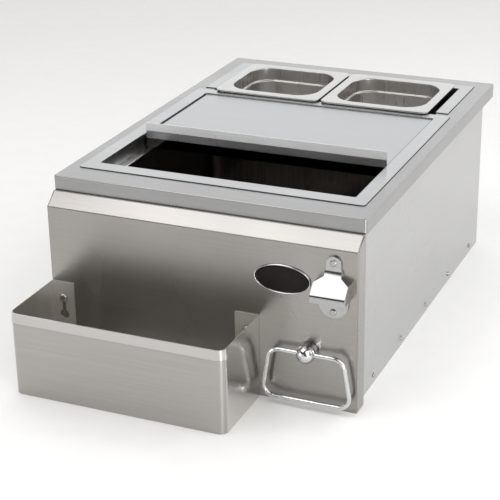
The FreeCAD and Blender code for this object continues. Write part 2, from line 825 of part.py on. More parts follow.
def sliding_lid():
    """The lid: an inverted tray on two nylon glides, with a stepped pull lip along its front edge."""
    body = new_body()
    shell = sketch_on(body, "XY", lid_bottom)
    rectangle(shell, (-lid_side, lid_side), (lid_front, lid_back))
    pad(body, shell, lid_top - lid_bottom)
    round_edges(body, s.lid_bend, level_at(lid_top))
    inside = sketch_on(body, "XY", lid_bottom)
    side = lid_side - s.gauge
    rectangle(inside, (-side, side), (lid_front + s.gauge, lid_back - s.gauge))
    pocket(body, inside, lid_top - lid_bottom - s.gauge, reverse=True)
    keep("sliding_lid", body)

    lip = new_body()
    edge = lid_side - s.lip_inset
    foot = lid_top - s.lip_overlap - s.lid_bend
    bend = lid_top + s.lip_rise
    peak = bend + s.lip_height
    strip = lid_front - s.lip_step
    profile = sketch_on(lip, "YZ", -edge)
    outline(profile, [(lid_front - s.gauge, foot), (lid_front, foot), (lid_front, bend),
                      (strip + s.lip_lean, peak), (strip + s.lip_lean - s.gauge, peak),
                      (strip - s.gauge, bend), (lid_front - s.gauge, bend)])
    pad(lip, profile, 2 * edge)
    keep("lid_pull_lip", lip)

    height = (rim_top + s.seat_play, rim_top + s.seat_play + s.glide_height)
    length = (lid_front + 2 * s.gauge, lid_back - 2 * s.gauge)
    strips = [block(x, length, height)
              for x in ((side - s.glide_width, side), (-side, s.glide_width - side))]
    keep("lid_glides", group(strips))


def pan_holder():
    """The plate round the pans' bay, open in front, with a skirt down into the frame's opening."""
    body = new_body()
    half = s.holder_width / 2
    front = s.bay_front + s.holder_setback
    back = s.bay_back

    def u_shape(sketch, inner, outer, inner_back, outer_back):
        outline(sketch, [(-outer, front), (-inner, front), (-inner, inner_back), (inner, inner_back),
                         (inner, front), (outer, front), (outer, outer_back), (-outer, outer_back)])
        return sketch

    pad(body, u_shape(sketch_on(body, "XY", s.frame_top), bay_side, half, back, body_end), s.gauge)
    skirt = u_shape(sketch_on(body, "XY", plate_top), bay_side, bay_side + s.gauge, back, back + s.gauge)
    pad(body, skirt, s.gauge + s.holder_skirt, reverse=True)
    keep("pan_holder", body)


def condiment_pan(label, centre_x):
    """A drawn pan with a turned-down rim, a straight mouth, a stacking shoulder and tapered walls."""
    body = new_body()
    wall = s.pan_wall
    height = s.pan_rim_height

    def rounded(level, length, width, grow, corner):
        sketch = sketch_on(body, "XY", level)
        u = length / 2 + grow
        v = width / 2 + grow
        return rectangle(sketch, (-u, u), (-v, v), corner + grow)

    def mouth(level, grow):
        return rounded(level, s.pan_mouth_length, s.pan_mouth_width, grow, s.pan_mouth_corner)

    def tapered(feature):
        bind(feature, "TaperAngle", -s.pan_taper)

    pad(body, rounded(0, s.pan_length, s.pan_width, 0, s.pan_rim_corner), height)
    round_edges(body, height / 2, level_at(height))
    under = rounded(0, s.pan_length, s.pan_width, -wall, s.pan_rim_corner)
    pocket(body, under, height - wall, reverse=True)
    pad(body, mouth(height, wall), s.pan_shoulder_depth, reverse=True)
    shoulder = height - s.pan_shoulder_depth
    deep = s.pan_depth - s.pan_shoulder_depth
    tapered(pad(body, mouth(shoulder + wall, wall - s.pan_shoulder), deep + wall, reverse=True))
    pocket(body, mouth(height, 0), s.pan_shoulder_depth - wall)
    tapered(pocket(body, mouth(shoulder + wall, -s.pan_shoulder), deep))
    place(body, "Z", (centre_x, s.bay_front + s.bay_length / 2, plate_top + s.seat_play))
    keep(label, body)


def speed_rail():
    """The bottle trough: floor, rounded walls with a leaning hem, and two keyhole tabs on the panel."""
    body = new_body()
    left = s.rail_left
    right = left + s.rail_width
    back = face - s.play
    front = back - s.rail_depth
    bottom = s.rail_bottom
    top = bottom + s.rail_height

    def trough(level, grow, corner):
        sketch = sketch_on(body, "XY", level)
        return outline(sketch, [(left - grow, back), (left - grow, front - grow, corner),
                                (right + grow, front - grow, corner), (right + grow, back)])

    hem_angle = Size(math.degrees(math.atan(s.rail_hem_proud.value / s.rail_hem.value)),
                     "(atan(sizes.rail_hem_proud / sizes.rail_hem) / 1 deg)")
    pad(body, trough(bottom, 0, s.rail_corner), s.rail_height)
    hem = pad(body, trough(top, 0, s.rail_corner), s.rail_hem, reverse=True)
    bind(hem, "TaperAngle", hem_angle)
    pocket(body, trough(top, -s.gauge, s.rail_corner - s.gauge), s.rail_height - s.gauge)
    trim = sketch_on(body, "XZ", back + 2 * s.rail_hem_proud)
    rectangle(trim, (left - s.rail_hem, right + s.rail_hem), (bottom - CLEAR_OF, top + CLEAR_OF))
    pocket(body, trim, 2 * s.rail_hem_proud, reverse=True)
    slot = s.hanger_shank + s.keyhole_play
    low = s.hanger_height - s.hanger_drop

    def tab(wall, inner_edge, x):
        """A tab folded in from an end wall, with its keyhole: a slot above a round entry."""
        sheet_metal = new_body()
        shape = sketch_on(sheet_metal, "XZ", back)
        outline(shape, [(wall, bottom), (inner_edge, bottom), (inner_edge, top, s.rail_tab_corner),
                        (wall, top)])
        pad(sheet_metal, shape, s.gauge)
        keyhole = sketch_on(sheet_metal, "XZ", back - 2 * s.gauge)
        rectangle(keyhole, (x - slot, x + slot), (low, s.hanger_height + slot), slot * NEARLY_ROUND)
        pocket(sheet_metal, keyhole, 3 * s.gauge)
        entry = sketch_on(sheet_metal, "XZ", back - 2 * s.gauge)
        circle(entry, x, low, s.hanger_head + s.keyhole_head_play)
        pocket(sheet_metal, entry, 3 * s.gauge)
        return sheet_metal

    keep("speed_rail", union([body, tab(left, left + s.rail_tab, hanger_spots[0]),
                              tab(right, right - s.rail_tab, hanger_spots[1])]))

    seat = back - s.gauge - s.play
    shank = face_inside - seat + 2 * s.small_nut_height
    keep("rail_hanger_screws", group([
        screw(s.hanger_shank, s.hanger_head, s.hanger_head_height, shank, "-Y", (x, seat, s.hanger_height))
        for x in hanger_spots]))
    keep("rail_hanger_nuts", group([
        hex_nut(s.small_nut_flats, s.hanger_shank + s.play / 2, s.small_nut_height, "Y",
                (x, face_inside, s.hanger_height)) for x in hanger_spots]))


def badge():
    """The oval badge: a bright rim round a bare dark face, bonded to the panel."""
    def oval(sketch, inset):
        return ellipse(sketch, s.badge_x, s.badge_z, s.badge_length / 2 - inset, s.badge_height / 2 - inset)

    rim = new_body()
    ring = sketch_on(rim, "XZ", face)
    oval(ring, 0)
    oval(ring, s.badge_rim)
    pad(rim, ring, s.badge_proud)
    keep("badge_rim", rim)
    plate = new_body()
    disc = sketch_on(plate, "XZ", face)
    oval(disc, s.badge_rim + s.play / 2)
    pad(plate, disc, s.badge_face_proud)
    keep("badge_face", plate)


def bottle_opener():
    """The cast wall opener: a screwed plate, a hood with a rolled lip over the cap, a tooth below it."""
    body = new_body()
    x = s.opener_x
    plate = sketch_on(body, "XZ", face)
    waist = s.opener_bottom + s.opener_disc + s.opener_waist
    outline(plate, [(x - s.opener_disc, s.opener_bottom, s.opener_disc * NEARLY_ROUND),
                    (x + s.opener_disc, s.opener_bottom, s.opener_disc * NEARLY_ROUND),
                    (x + s.opener_disc, waist), (x + s.hood_half, s.hood_lip + s.opener_waist),
                    (x + s.hood_half, s.hood_shoulder), (x + s.hood_crown, s.hood_brow),
                    (x + s.opener_tab, s.hood_top + s.opener_neck),
                    (x + s.opener_tab, s.opener_top, s.opener_tab * NEARLY_ROUND),
                    (x - s.opener_tab, s.opener_top, s.opener_tab * NEARLY_ROUND),
                    (x - s.opener_tab, s.hood_top + s.opener_neck), (x - s.hood_crown, s.hood_brow),
                    (x - s.hood_half, s.hood_shoulder), (x - s.hood_half, s.hood_lip + s.opener_waist),
                    (x - s.opener_disc, waist)])
    pad(body, plate, s.opener_plate)
    seat = face - s.opener_plate
    brow = face - s.brow_reach
    peak = face - s.hood_reach
    hood = sketch_on(body, "YZ", x - s.hood_half)
    outline(hood, [(seat, s.hood_lip), (seat, s.hood_top), (brow, s.hood_brow), (peak, s.hood_crease),
                   (peak, s.hood_lip)])
    pad(body, hood, 2 * s.hood_half)
    round_edges(body, s.hood_round, level_at(s.hood_crease))
    shoulders = sketch_on(body, "XZ", peak - CLEAR_OF)
    outside = s.hood_half + CLEAR_OF
    above = s.hood_top + CLEAR_OF
    outline(shoulders, [(x + s.hood_crown, above), (x + s.hood_crown, s.hood_brow),
                        (x + s.hood_half, s.hood_shoulder), (x + outside, s.hood_shoulder),
                        (x + outside, above)])
    outline(shoulders, [(x - s.hood_crown, above), (x - outside, above), (x - outside, s.hood_shoulder),
                        (x - s.hood_half, s.hood_shoulder), (x - s.hood_crown, s.hood_brow)])
    pocket(body, shoulders, s.hood_reach - s.opener_plate + CLEAR_OF)
    wall = s.hood_wall
    mouth = sketch_on(body, "YZ", x + s.hood_half - wall)
    below = s.hood_lip - CLEAR_OF
    outline(mouth, [(seat, below), (peak + wall, below), (peak + wall, s.hood_crease),
                    (brow, s.hood_shoulder - wall), (seat, s.hood_shoulder - wall)])
    pocket(body, mouth, 2 * (s.hood_half - wall))
    tooth = sketch_on(body, "YZ", x - s.tooth_half)
    low = s.hood_lip - 2 * s.tooth_height
    outline(tooth, [(seat, low), (seat, low + 2 * s.tooth_height),
                    (seat - s.tooth_reach, low + s.tooth_height)])
    pad(body, tooth, 2 * s.tooth_half)
    drill = sketch_on(body, "XZ", seat - CLEAR_OF)
    for z in opener_screw_heights:
        circle(drill, x, z, s.opener_screw + s.play / 2)
    pocket(body, drill, s.opener_plate + 2 * CLEAR_OF)
    keep("bottle_opener", body)
    shank = face_inside - seat + 2 * s.small_nut_height
    keep("opener_screws", group([
        screw(s.opener_screw, s.opener_screw_head, s.screw_head_height, shank, "-Y", (x, seat, z))
        for z in opener_screw_heights]))
    keep("opener_nuts", group([
        hex_nut(s.small_nut_flats, s.opener_screw + s.play / 2, s.small_nut_height, "Y", (x, face_inside, z))
        for z in opener_screw_heights]))


def towel_ring():
    """The towel ring: a bent wire hung through a ball-ended post that one screw holds from behind."""
    spot = (s.towel_x, face, s.towel_z)
    foot = s.towel_foot_height
    post = turned([(0, 0), (s.towel_foot, 0), (s.towel_foot, foot), (s.towel_neck, foot),
                   (s.towel_neck, s.towel_stand), (0, s.towel_stand)], "-Y", spot)
    centre = face - s.towel_stand
    ball = doc.addObject("Part::Sphere", "ball")
    bind(ball, "Radius", s.towel_ball)
    place(ball, "Z", (s.towel_x, centre, s.towel_z))
    eye = rod(s.towel_wire + s.towel_bore_play, 3 * s.towel_ball, "X",
              (s.towel_x - 1.5 * s.towel_ball, centre, s.towel_z))
    tapped = rod(s.screw_shank + s.play / 2, s.screw_length, "-Y", spot)
    keep("towel_post", cut(union([post, ball]), [eye, tapped]))
    keep("towel_post_screw", screw(s.screw_shank, s.screw_head, s.screw_head_height, s.screw_length, "Y",
                                   (s.towel_x, face_inside, s.towel_z)))
    corners = [(-s.ring_top_half, 0), (s.ring_top_half, 0),
               (s.ring_bottom_half, -s.ring_drop), (-s.ring_bottom_half, -s.ring_drop)]
    points = [FreeCAD.Vector(as_size(u).value, 0, as_size(v).value) for u, v in corners]
    ring = doc.addObject("Part::Feature", "ring")
    ring.Shape = bent_ring(points, s.ring_corner.value, s.towel_wire.value)
    place(ring, "Z", (s.towel_x, centre, s.towel_z))
    keep("towel_ring", ring)


def bent_ring(points, bend, wire_radius):
    """A round wire bent through the points with one bend radius, its two ends meeting on the top bar."""
    count = len(points)
    ways = [(points[(i + 1) % count] - points[i]).normalize() for i in range(count)]
    edges = []
    start = (points[0] + points[1]) / 2
    here = start
    for i in list(range(1, count)) + [0]:
        turn = ways[i - 1].getAngle(ways[i])
        reach = bend * math.tan(turn / 2)
        before = points[i] - ways[i - 1] * reach
        after = points[i] + ways[i] * reach
        inward = (ways[i] - ways[i - 1]).normalize()
        middle = points[i] + inward * (bend / math.cos(turn / 2) - bend)
        edges.append(Part.LineSegment(here, before).toShape())
        edges.append(Part.Arc(before, middle, after).toShape())
        here = after
    edges.append(Part.LineSegment(here, start).toShape())
    section = Part.Wire(Part.Circle(start, ways[0], wire_radius).toShape())
    return Part.Wire(edges).makePipeShell([section], True, False)


def panel_screws():
    """The round-headed screws of the side, back and front panels."""
    def fixing(axis, origin):
        return screw(s.screw_shank, s.screw_head, s.screw_head_height, s.screw_length, axis, origin)

    keep("side_screws_right", group([
        fixing("X", (body_side, y, s.screw_height)) for y in side_screw_stations]))
    keep("side_screws_left", group([
        fixing("-X", (-body_side, y, s.screw_height)) for y in side_screw_stations]))
    keep("back_screws", group([fixing("Y", (x, body_end, s.screw_height)) for x in back_screw_stations]))
    keep("front_panel_screws", group([
        fixing("Y", (x, -inner_end, z)) for x in (face_screw_x, -face_screw_x) for z in face_screw_heights]))


base_panel()
side_panels()
back_panel()
front_panel()
top_frame()
well_collar()
ice_tub()
insulation_jacket()
drain()
sliding_lid()
pan_holder()
condiment_pan("condiment_pan_left", s.pan_left_x)
condiment_pan("condiment_pan_right", s.pan_right_x)
speed_rail()
badge()
bottle_opener()
towel_ring()
panel_screws()
doc.recompute()

for item in doc.Objects:
    if "Invalid" in item.State or "Error" in item.State:
        raise RuntimeError(f"{item.Label} failed: {item.State}")
for label, item in NODES.items():
    if item.Shape.isNull() or not item.Shape.isValid() or not item.Shape.Solids:
        raise RuntimeError(f"{label} has no valid solid")

os.makedirs("parts", exist_ok=True)
for label, item in NODES.items():
    item.Shape.exportStep(os.path.join("parts", f"{label}.step"))
print(len(NODES), "sub-parts written")
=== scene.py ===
import math

import bmesh
import bpy
import numpy as np
from mathutils import Matrix, Vector


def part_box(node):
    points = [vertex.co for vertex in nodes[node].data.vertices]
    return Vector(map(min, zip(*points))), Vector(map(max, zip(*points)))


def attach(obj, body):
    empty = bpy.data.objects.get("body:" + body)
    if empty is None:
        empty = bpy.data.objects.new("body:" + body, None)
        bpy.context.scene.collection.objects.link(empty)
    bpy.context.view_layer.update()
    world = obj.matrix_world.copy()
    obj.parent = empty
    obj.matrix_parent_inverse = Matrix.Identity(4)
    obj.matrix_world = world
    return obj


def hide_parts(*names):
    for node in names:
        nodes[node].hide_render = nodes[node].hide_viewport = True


# A drop-in cocktail center: a stainless box that hangs by its top frame in a counter cut-out.
# It holds an ice well with a sliding lid, two condiment pans, and a front panel with a bottle trough,
# a bottle opener, a badge and a towel ring. Metres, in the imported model's frame; the front is towards -Y.

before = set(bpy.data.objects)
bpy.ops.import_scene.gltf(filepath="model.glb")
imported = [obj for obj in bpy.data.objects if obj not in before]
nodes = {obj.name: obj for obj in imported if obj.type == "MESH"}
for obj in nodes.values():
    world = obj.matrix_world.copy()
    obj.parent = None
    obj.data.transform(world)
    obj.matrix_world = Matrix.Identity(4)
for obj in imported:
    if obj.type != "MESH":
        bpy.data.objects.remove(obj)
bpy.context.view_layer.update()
MM = 0.001

# Body panels
# Folded stainless sheets, screwed together through their flanges, make the box under the counter.
# The sheet has the mill's straight brushed grain, which runs along the length of each panel.


def linear(code):
    """A hex colour's sRGB values as the linear light that the shaders work in."""
    values = np.array([int(code[i:i + 2], 16) for i in (1, 3, 5)]) / 255
    light = np.where(values <= 0.04045, values / 12.92, ((values + 0.055) / 1.055) ** 2.4)
    return (*light.tolist(), 1.0)


def add(tree, kind, inputs=None, **settings):
    """One shader node with its settings; each input is filled with a value or fed by an output."""
    node = tree.nodes.new("ShaderNode" + kind)
    for name, value in settings.items():
        setattr(node, name, value)
    for name, value in (inputs or {}).items():
        if isinstance(value, bpy.types.NodeSocket):
            tree.links.new(value, node.inputs[name])
        else:
            node.inputs[name].default_value = value
    return node


def material_of(name, constants):
    """A new material, its node tree and its shader, with what is the same all over set on the sockets."""
    material = bpy.data.materials.new(name)
    material.use_nodes = True
    shader = material.node_tree.nodes["Principled BSDF"]
    for socket, value in constants.items():
        shader.inputs[socket].default_value = value
    return material, material.node_tree, shader


def feed(tree, shader, outputs):
    """Links varying outputs to the shader's sockets."""
    for socket, output in outputs.items():
        tree.links.new(output, shader.inputs[socket])


def brushed_stainless(name, light, dark, grain, rough):
    """Brushed sheet: the eye sees reflections drawn out across the grain, and long faint streaks along it.

    Real scratches are about 0.1 mm wide; the streaks here are 0.8 mm, as coarse as they need to show.
    """
    material, tree, shader = material_of(name, {"Metallic": 1.0, "Anisotropic": 0.7})
    place = add(tree, "TexCoord").outputs["Object"]
    stretch = [1 / (0.8 * MM)] * 3
    stretch["XYZ".index(grain)] = 1 / (160 * MM)
    along = add(tree, "Mapping", {"Vector": place, "Scale": stretch}).outputs["Vector"]
    streaks = add(tree, "TexNoise", {"Vector": along, "Scale": 1.0, "Detail": 3.0}).outputs["Fac"]
    cloud = add(tree, "TexNoise", {"Vector": place, "Scale": 1 / (140 * MM), "Detail": 1.0}).outputs["Fac"]
    tone = add(tree, "MapRange", {"Value": streaks, "From Min": 0.3, "From Max": 0.7}).outputs["Result"]
    colour = add(tree, "MixRGB", {"Fac": tone, "Color1": linear(dark), "Color2": linear(light)})
    spread = add(tree, "MapRange", {"Value": cloud, "From Min": 0.3, "From Max": 0.7,
                                    "To Min": rough - 0.03, "To Max": rough + 0.03})
    scratches = add(tree, "Bump", {"Height": streaks, "Strength": 0.06, "Distance": 0.08 * MM})
    outward = add(tree, "NewGeometry").outputs["Normal"]
    run = (1, 0.02, 0) if grain == "X" else (0.02, 1, 0)
    across = add(tree, "VectorMath", {0: outward, 1: run}, operation="CROSS_PRODUCT")
    feed(tree, shader, {"Base Color": colour.outputs["Color"], "Roughness": spread.outputs["Result"],
                        "Normal": scratches.outputs["Normal"], "Tangent": across.outputs["Vector"]})
    return material


def dress(material, *names):
    """Gives CAD pieces their finish."""
    for name in names:
        for slot in nodes[name].material_slots:
            slot.material = material


BRUSHED = 0.27
sheet_along = brushed_stainless("brushed stainless sheet, grain front to back", "#C0C0C0", "#B9B9B9", "Y",
                                BRUSHED)
sheet_across = brushed_stainless("brushed stainless sheet, grain side to side", "#B4B5B6", "#ADAEAF", "X",
                                 BRUSHED)


def rounded_copy(node, ending, radius, narrowest, material, body):
    """A copy of a CAD piece that takes its place, with the edges between wide faces rounded off.

    An edge is rounded where its two faces turn by over 20 degrees and both are wider than the narrowest.
    """
    mesh = nodes[node].data.copy()
    work = bmesh.new()
    work.from_mesh(mesh)
    bmesh.ops.remove_doubles(work, verts=work.verts, dist=1e-6)
    bmesh.ops.dissolve_limit(work, angle_limit=math.radians(1), verts=work.verts, edges=work.edges)
    weight = work.edges.layers.float.new("bevel_weight_edge")
    for edge in work.edges:
        width = min(face.calc_area() for face in edge.link_faces) / edge.calc_length()
        turns = edge.calc_face_angle(0) > math.radians(20)
        edge[weight] = float(turns and width > narrowest)
        edge.smooth = not turns or width > narrowest
    for face in work.faces:
        face.smooth = True
    work.to_mesh(mesh)
    work.free()
    mesh.materials.clear()
    mesh.materials.append(material)
    piece = bpy.data.objects.new(node + ending, mesh)
    bpy.context.scene.collection.objects.link(piece)
    bevel = piece.modifiers.new("rounded edges", "BEVEL")
    bevel.width = radius
    bevel.segments = 4
    bevel.limit_method = "WEIGHT"
    level = piece.modifiers.new("flat faces", "WEIGHTED_NORMAL")
    level.weight = 100
    level.keep_sharp = True
    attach(piece, body)
    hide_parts(node)


dress(sheet_along, "side_panel_left", "side_panel_right", "base_panel")
dress(sheet_across, "back_panel")

# Fasteners
# Round-headed stainless screws hold the panels, and plain hexagon nuts sit behind the front panel.
# They are turned bright, with a faint fine mottle.


def fine_metal(name, light, dark, rough, grit, depth):
    """Plain metal with soft small-scale mottling: grit is the size of its grains in millimetres."""
    material, tree, shader = material_of(name, {"Metallic": 1.0})
    place = add(tree, "TexCoord").outputs["Object"]
    grains = {"Vector": place, "Scale": 1 / (grit * MM), "Detail": 3.0}
    mottle = add(tree, "TexNoise", grains).outputs["Fac"]
    tone = add(tree, "MapRange", {"Value": mottle, "From Min": 0.3, "From Max": 0.7}).outputs["Result"]
    colour = add(tree, "MixRGB", {"Fac": tone, "Color1": linear(dark), "Color2": linear(light)})
    spread = add(tree, "MapRange", {"Value": mottle, "From Min": 0.3, "From Max": 0.7,
                                    "To Min": rough * 0.8, "To Max": rough * 1.2})
    grain = add(tree, "Bump", {"Height": mottle, "Strength": 0.1, "Distance": depth * MM})
    feed(tree, shader, {"Base Color": colour.outputs["Color"], "Roughness": spread.outputs["Result"],
                        "Normal": grain.outputs["Normal"]})
    return material


bright_screw = fine_metal("turned stainless fasteners", "#C4C4C2", "#8E8D8B", 0.24, 1.2, 0.05)
dress(bright_screw, "side_screws_left", "side_screws_right", "back_screws", "front_panel_screws",
      "opener_screws", "opener_nuts", "rail_hanger_screws", "rail_hanger_nuts", "towel_post_screw")

# Ice tub
# A tub deep-drawn from one stainless sheet hangs by its lip on the collar's ledge.
# Drawing leaves coved corners and a soft satin skin with faint upright flow lines; the steel is painted
# dark for the shade in the well, and its lip keeps a paler lit tone.


def rounded_rings(stations, centre, corner_steps=10):
    """Rings of a drawn shell: every station is a rounded rectangle (half x, half y, corner, z, y shift).

    A ring runs through four quarter circles of its corner radius, and straight lines join them.
    """
    half_x, half_y, corner, height, shift = (column[:, None] for column in np.asarray(stations).T)
    quarter = np.repeat(np.arange(4), corner_steps + 1)
    angle = np.tile(np.linspace(0, math.pi / 2, corner_steps + 1), 4) + quarter * math.pi / 2
    side_x = np.array([1, -1, -1, 1])[quarter]
    side_y = np.array([1, 1, -1, -1])[quarter]
    x = centre[0] + side_x * (half_x - corner) + corner * np.cos(angle)
    y = centre[1] + shift + side_y * (half_y - corner) + corner * np.sin(angle)
    return np.stack([x, y, height + 0 * x], axis=2)


def eased(keys, cuts, steps=7):
    """A line of stations with each key's corner replaced by a parabola that starts and ends a cut away.

    The parabola is (1-t)^2 A + 2t(1-t) K + t^2 B, with A and B on the two runs that meet at the key K.
    """
    keys = np.asarray(keys, float)
    t = np.linspace(0, 1, steps)[:, None]
    line = [keys[:1]]
    for before, key, after, cut in zip(keys, keys[1:], keys[2:], cuts):
        start = key + (before - key) * min(0.49, cut / np.linalg.norm(before - key))
        end = key + (after - key) * min(0.49, cut / np.linalg.norm(after - key))
        line.append((1 - t) ** 2 * start + 2 * t * (1 - t) * key + t ** 2 * end)
    line.append(keys[-1:])
    return np.concatenate(line)


def skin(name, points, material, body, closed_rows=False):
    """A mesh over a grid of points (rows, ring, xyz), closed round each ring and, if asked, row to row."""
    rows, ring = points.shape[:2]
    index = np.arange(rows * ring).reshape(rows, ring)
    lower = index if closed_rows else index[:-1]
    upper = np.roll(index, -1, axis=0) if closed_rows else index[1:]
    quads = np.stack([lower, np.roll(lower, -1, axis=1), np.roll(upper, -1, axis=1), upper], axis=2)
    mesh = bpy.data.meshes.new(name)
    mesh.from_pydata(points.reshape(-1, 3).tolist(), [], quads.reshape(-1, 4).tolist())
    work = bmesh.new()
    work.from_mesh(mesh)
    bmesh.ops.remove_doubles(work, verts=work.verts, dist=1e-7)
    bmesh.ops.recalc_face_normals(work, faces=work.faces)
    for face in work.faces:
        face.smooth = True
    work.to_mesh(mesh)
    work.free()
    mesh.materials.append(material)
    piece = bpy.data.objects.new(name, mesh)
    bpy.context.scene.collection.objects.link(piece)
    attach(piece, body)
    return piece


def drawn_stainless(name, light, dark, rough):
    """Satin drawn steel: broad soft reflections with faint upright flow lines every few millimetres."""
    material, tree, shader = material_of(name, {"Metallic": 1.0})
    place = add(tree, "TexCoord").outputs["Object"]
    stretch = (1 / (4 * MM), 1 / (4 * MM), 1 / (70 * MM))
    flow = add(tree, "Mapping", {"Vector": place, "Scale": stretch}).outputs["Vector"]
    lines = add(tree, "TexNoise", {"Vector": flow, "Scale": 1.0, "Detail": 2.0}).outputs["Fac"]
    tone = add(tree, "MapRange", {"Value": lines, "From Min": 0.3, "From Max": 0.7}).outputs["Result"]
    colour = add(tree, "MixRGB", {"Fac": tone, "Color1": linear(dark), "Color2": linear(light)})
    spread = add(tree, "MapRange", {"Value": lines, "From Min": 0.3, "From Max": 0.7,
                                    "To Min": rough - 0.04, "To Max": rough + 0.04})
    waves = add(tree, "Bump", {"Height": lines, "Strength": 0.04, "Distance": 0.1 * MM})
    feed(tree, shader, {"Base Color": colour.outputs["Color"], "Roughness": spread.outputs["Result"],
                        "Normal": waves.outputs["Normal"]})
    return material


EDGE_TONE_FADE = 1 * MM


def edge_tone_above(material, height, colour):
    """The top edge of a drawn piece in a second tone of the same steel, so that edge and body carry painted
    light and shade.
    """
    tree = material.node_tree
    shader = tree.nodes["Principled BSDF"]
    drawn = shader.inputs["Base Color"].links[0].from_socket
    up = add(tree, "SeparateXYZ", {"Vector": add(tree, "TexCoord").outputs["Object"]}).outputs["Z"]
    edge_band = add(tree, "MapRange", {"Value": up, "From Min": height - EDGE_TONE_FADE, "From Max": height})
    two_tone = add(tree, "MixRGB", {"Fac": edge_band.outputs["Result"], "Color1": drawn, "Color2": linear(colour)})
    feed(tree, shader, {"Base Color": two_tone.outputs["Color"]})


# Painted shade: the tub's steel is toned dark for the deep well's shade, and its top edge gets the paler
# lit tone.
tub_steel_painted_dark = drawn_stainless("drawn stainless, satin, painted well shade", "#85817C", "#7F7B76", 0.22)
tub_low, tub_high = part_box("ice_tub")
edge_tone_above(tub_steel_painted_dark, tub_high.z - EDGE_TONE_FADE, "#D0D0CF")
tub_middle = (tub_low + tub_high) / 2
tub_lip = (tub_high - tub_low) / 2
LIP_ROOM = 11.9 * MM
TUB_WALL = 1.0 * MM
TUB_CORNER = 23 * MM
TUB_LIP_CORNER = 3 * MM
DRAIN_HOLE = 16.8 * MM
DRAIN_Y = 40 * MM
drain_shift = DRAIN_Y - tub_middle.y
inside = (tub_lip.x - LIP_ROOM, tub_lip.y - LIP_ROOM, TUB_CORNER)
outside = tuple(size + TUB_WALL for size in inside)
lip = (tub_lip.x, tub_lip.y, TUB_LIP_CORNER)
drain_edge = (DRAIN_HOLE, DRAIN_HOLE, DRAIN_HOLE)
tub_keys = [(*lip, tub_high.z - TUB_WALL, 0), (*lip, tub_high.z, 0), (*inside, tub_high.z, 0),
            (*inside, tub_low.z + TUB_WALL, 0), (*drain_edge, tub_low.z + TUB_WALL, drain_shift),
            (*drain_edge, tub_low.z, drain_shift), (*outside, tub_low.z, 0),
            (*outside, tub_high.z - TUB_WALL, 0), (*lip, tub_high.z - TUB_WALL, 0)]
tub_cuts = [0.3 * MM, 3 * MM, 14 * MM, 0.3 * MM, 0.3 * MM, 15 * MM, 2 * MM]
tub = skin("ice_tub_drawn", rounded_rings(eased(tub_keys, tub_cuts), tub_middle), tub_steel_painted_dark, "cabinet")
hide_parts("ice_tub")

# Insulation and drain
# A foam tray wraps the tub, and a strainer, elbow and pipe lead the melt water out through the back.
# The foam is moulded and pale, the pipe is black moulded plastic, and a rubber ring seals the strainer.


def moulded(name, light, dark, rough, grit, depth):
    """Moulded plastic, foam or rubber: a dull skin with grains of the given size in millimetres."""
    material, tree, shader = material_of(name, {"Metallic": 0.0})
    place = add(tree, "TexCoord").outputs["Object"]
    grain = add(tree, "TexNoise", {"Vector": place, "Scale": 1 / (grit * MM), "Detail": 4.0}).outputs["Fac"]
    tone = add(tree, "MapRange", {"Value": grain, "From Min": 0.3, "From Max": 0.7}).outputs["Result"]
    colour = add(tree, "MixRGB", {"Fac": tone, "Color1": linear(dark), "Color2": linear(light)})
    spread = add(tree, "MapRange", {"Value": grain, "From Min": 0.3, "From Max": 0.7,
                                    "To Min": rough - 0.08, "To Max": rough + 0.08})
    bumps = add(tree, "Bump", {"Height": grain, "Strength": 0.3, "Distance": depth * MM})
    feed(tree, shader, {"Base Color": colour.outputs["Color"], "Roughness": spread.outputs["Result"],
                        "Normal": bumps.outputs["Normal"]})
    return material


dress(moulded("expanded foam, moulded skin", "#E3DDC6", "#CFC7AB", 0.8, 3.0, 0.5), "insulation_jacket")
dress(moulded("black pipe plastic, moulded", "#2B2B2C", "#1C1C1D", 0.45, 1.5, 0.1),
      "drain_nut", "drain_elbow", "drain_pipe", "drain_outlet", "drain_outlet_nut")
dress(moulded("black rubber, moulded", "#232323", "#181818", 0.7, 1.0, 0.1), "drain_gasket")
dress(fine_metal("pressed stainless strainer", "#B7B5B1", "#96938E", 0.3, 1.5, 0.05),
      "drain_strainer", "drain_grid")

# Top frame, collar and pan holder
# The frame is a tray folded from one sheet; the collar and the pan holder are plates dropped into it.
# All three are brushed side to side, and the frame's lip rests on the counter.

WIDE_FACE = 6 * MM
frame_sheet = brushed_stainless("brushed stainless frame, grain side to side", "#A1A1A1", "#9A9A9A", "X",
                                BRUSHED)
rounded_copy("top_frame", "_folded", 1.2 * MM, WIDE_FACE, frame_sheet, "cabinet")
dress(sheet_across, "well_collar", "pan_holder")
# Painted shadow: black beads along the collar's and the holder's edges stand for the shadow lines under the
# plates.
shadow_bead_paint = moulded("black paint for edge shadow lines", "#1B1A19", "#131212", 0.45, 1.0, 0.05)
SHADOW_BEAD_WIDTH = 1.0 * MM
SHADOW_BEAD_BELOW_PLATE = 0.2 * MM
COLLAR_CORNER = 5 * MM
HOLDER_ARM = 19.25 * MM


def shadow_bead(name, path, foot, top, closed):
    """A dark bead along a plate's edge, painted shadow for the shadow line under the plate: a triangle from
    the plate's top edge out to its foot.

    Each point of the path moves out along the sum of its two sides' normals, divided by one plus the cosine
    of the turn between them.
    """
    path = np.asarray(path, float)
    ways = np.roll(path, -1, axis=0) - path
    ways /= np.linalg.norm(ways, axis=1)[:, None]
    if not closed:
        ways[-1] = ways[-2]
    normals = ways[:, ::-1] * np.array([1, -1])
    before = np.roll(normals, 1, axis=0)
    if not closed:
        before[0] = normals[0]
    mitre = (normals + before) / (1 + np.sum(normals * before, axis=1))[:, None]
    outer = path + mitre * SHADOW_BEAD_WIDTH
    rows = [np.column_stack([line, np.full(len(path), height)])
            for line, height in ((path, top), (outer, foot), (path, foot))]
    skin(name, np.stack(rows, axis=1), shadow_bead_paint, "cabinet", closed_rows=closed)


